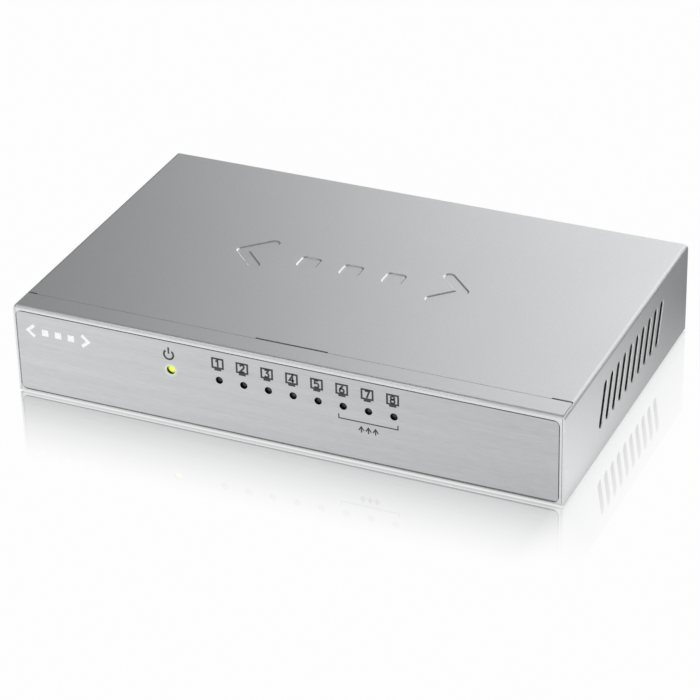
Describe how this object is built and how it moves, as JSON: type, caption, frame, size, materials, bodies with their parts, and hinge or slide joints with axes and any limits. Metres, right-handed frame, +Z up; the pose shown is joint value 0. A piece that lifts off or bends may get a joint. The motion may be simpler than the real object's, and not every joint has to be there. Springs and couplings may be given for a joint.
{
  "type": "desktop network switch",
  "caption": "Low folded-metal desktop network switch: port lights on a brushed front panel, slanted side vents, sunk top symbol, network sockets and power inlet at the rear.",
  "frame": {"origin": "on the surface the feet stand on, under the middle of the case", "axes": "+X right along the front panel, +Y to the rear sockets, +Z up"},
  "size_m": [0.137, 0.085, 0.0234],
  "materials": {
    "silver_paint": "fine satin silver powder coat",
    "brushed_overlay": "horizontally brushed satin",
    "black_plastic": "fine moulded matt",
    "led_lens": "clear smoked lens, unlit",
    "lit_lens": "tinted lens, lit yellow-green",
    "tinned_wire": "tinned",
    "board_green": "solder resist",
    "gold_contact": "gold flash",
    "plated_shield": "bright plated tin",
    "nickel_pin": "nickel plated",
    "chip_epoxy": "moulded epoxy",
    "capacitor_can": "satin can",
    "ferrite": "ground ferrite",
    "ceramic": "fired ceramic",
    "zinc_steel": "zinc plated",
    "foot_rubber": "matt rubber"
  },
  "bodies": {
    "root": {"board_screws": "zinc_steel", "bottom_chassis": "silver_paint", "case_screws": "zinc_steel", "chip_capacitors": "ceramic", "chip_resistors": "chip_epoxy", "circuit_board": "board_green", "crystal": "plated_shield", "filter_capacitors": "capacitor_can", "front_label": "brushed_overlay", "input_diode": "chip_epoxy", "input_fuse": "ceramic", "lan_transformers": "chip_epoxy", "led_holder": "black_plastic", "led_leads": "tinned_wire", "memory_chip": "chip_epoxy", "port_block_left": "black_plastic", "port_block_right": "black_plastic", "port_contacts_left": "gold_contact", "port_contacts_right": "gold_contact", "port_leds": "led_lens", "port_shield_left": "plated_shield", "port_shield_right": "plated_shield", "power_inductor": "ferrite", "power_jack_housing": "black_plastic", "power_jack_pin": "nickel_pin", "power_jack_spring": "nickel_pin", "power_led": "lit_lens", "regulator_chip": "chip_epoxy", "rubber_feet": "foot_rubber", "standoffs": "zinc_steel", "switch_chip": "chip_epoxy", "top_cover": "silver_paint"}
  },
  "joints": []
}
